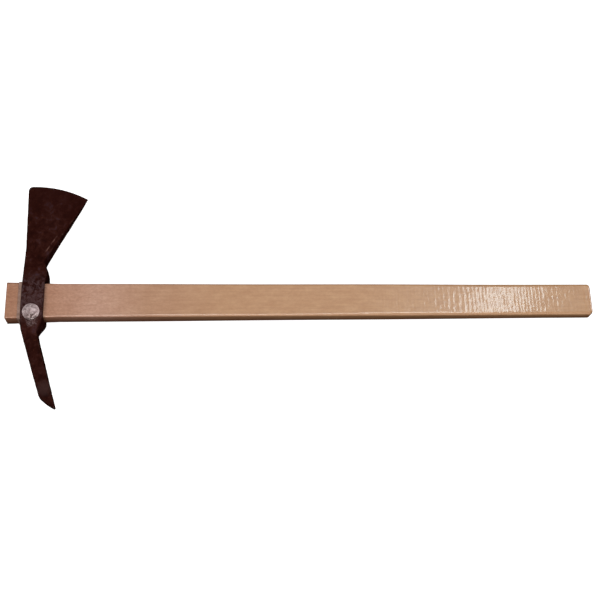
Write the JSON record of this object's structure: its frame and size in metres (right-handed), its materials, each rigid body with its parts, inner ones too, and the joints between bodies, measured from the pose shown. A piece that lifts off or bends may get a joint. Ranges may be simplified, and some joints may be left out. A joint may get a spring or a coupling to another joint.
{
  "type": "grub hoe",
  "caption": "Grubbing mattock with a fan axe blade, a narrow chisel-ended grubbing arm and a straight rectangular timber handle held by a through bolt.",
  "frame": {"origin": "centre of the handle's flat head-end face", "axes": "+X along the handle towards the grip end, +Y towards the axe blade, +Z off the handle's wide face on the bolt's head side"},
  "size_m": [0.9, 0.365, 0.0646],
  "materials": {
    "timber": "gloss varnish",
    "forged_steel": "dark forge scale with brown rust",
    "leather": "matt",
    "zinc_steel": "dull zinc"
  },
  "bodies": {
    "root": {"handle": "timber", "mattock_head": "forged_steel", "eye_packing": "leather", "retaining_bolt": "zinc_steel", "front_washer": "zinc_steel", "rear_washer": "zinc_steel", "spring_washer": "zinc_steel", "hex_nut": "zinc_steel"}
  },
  "joints": []
}
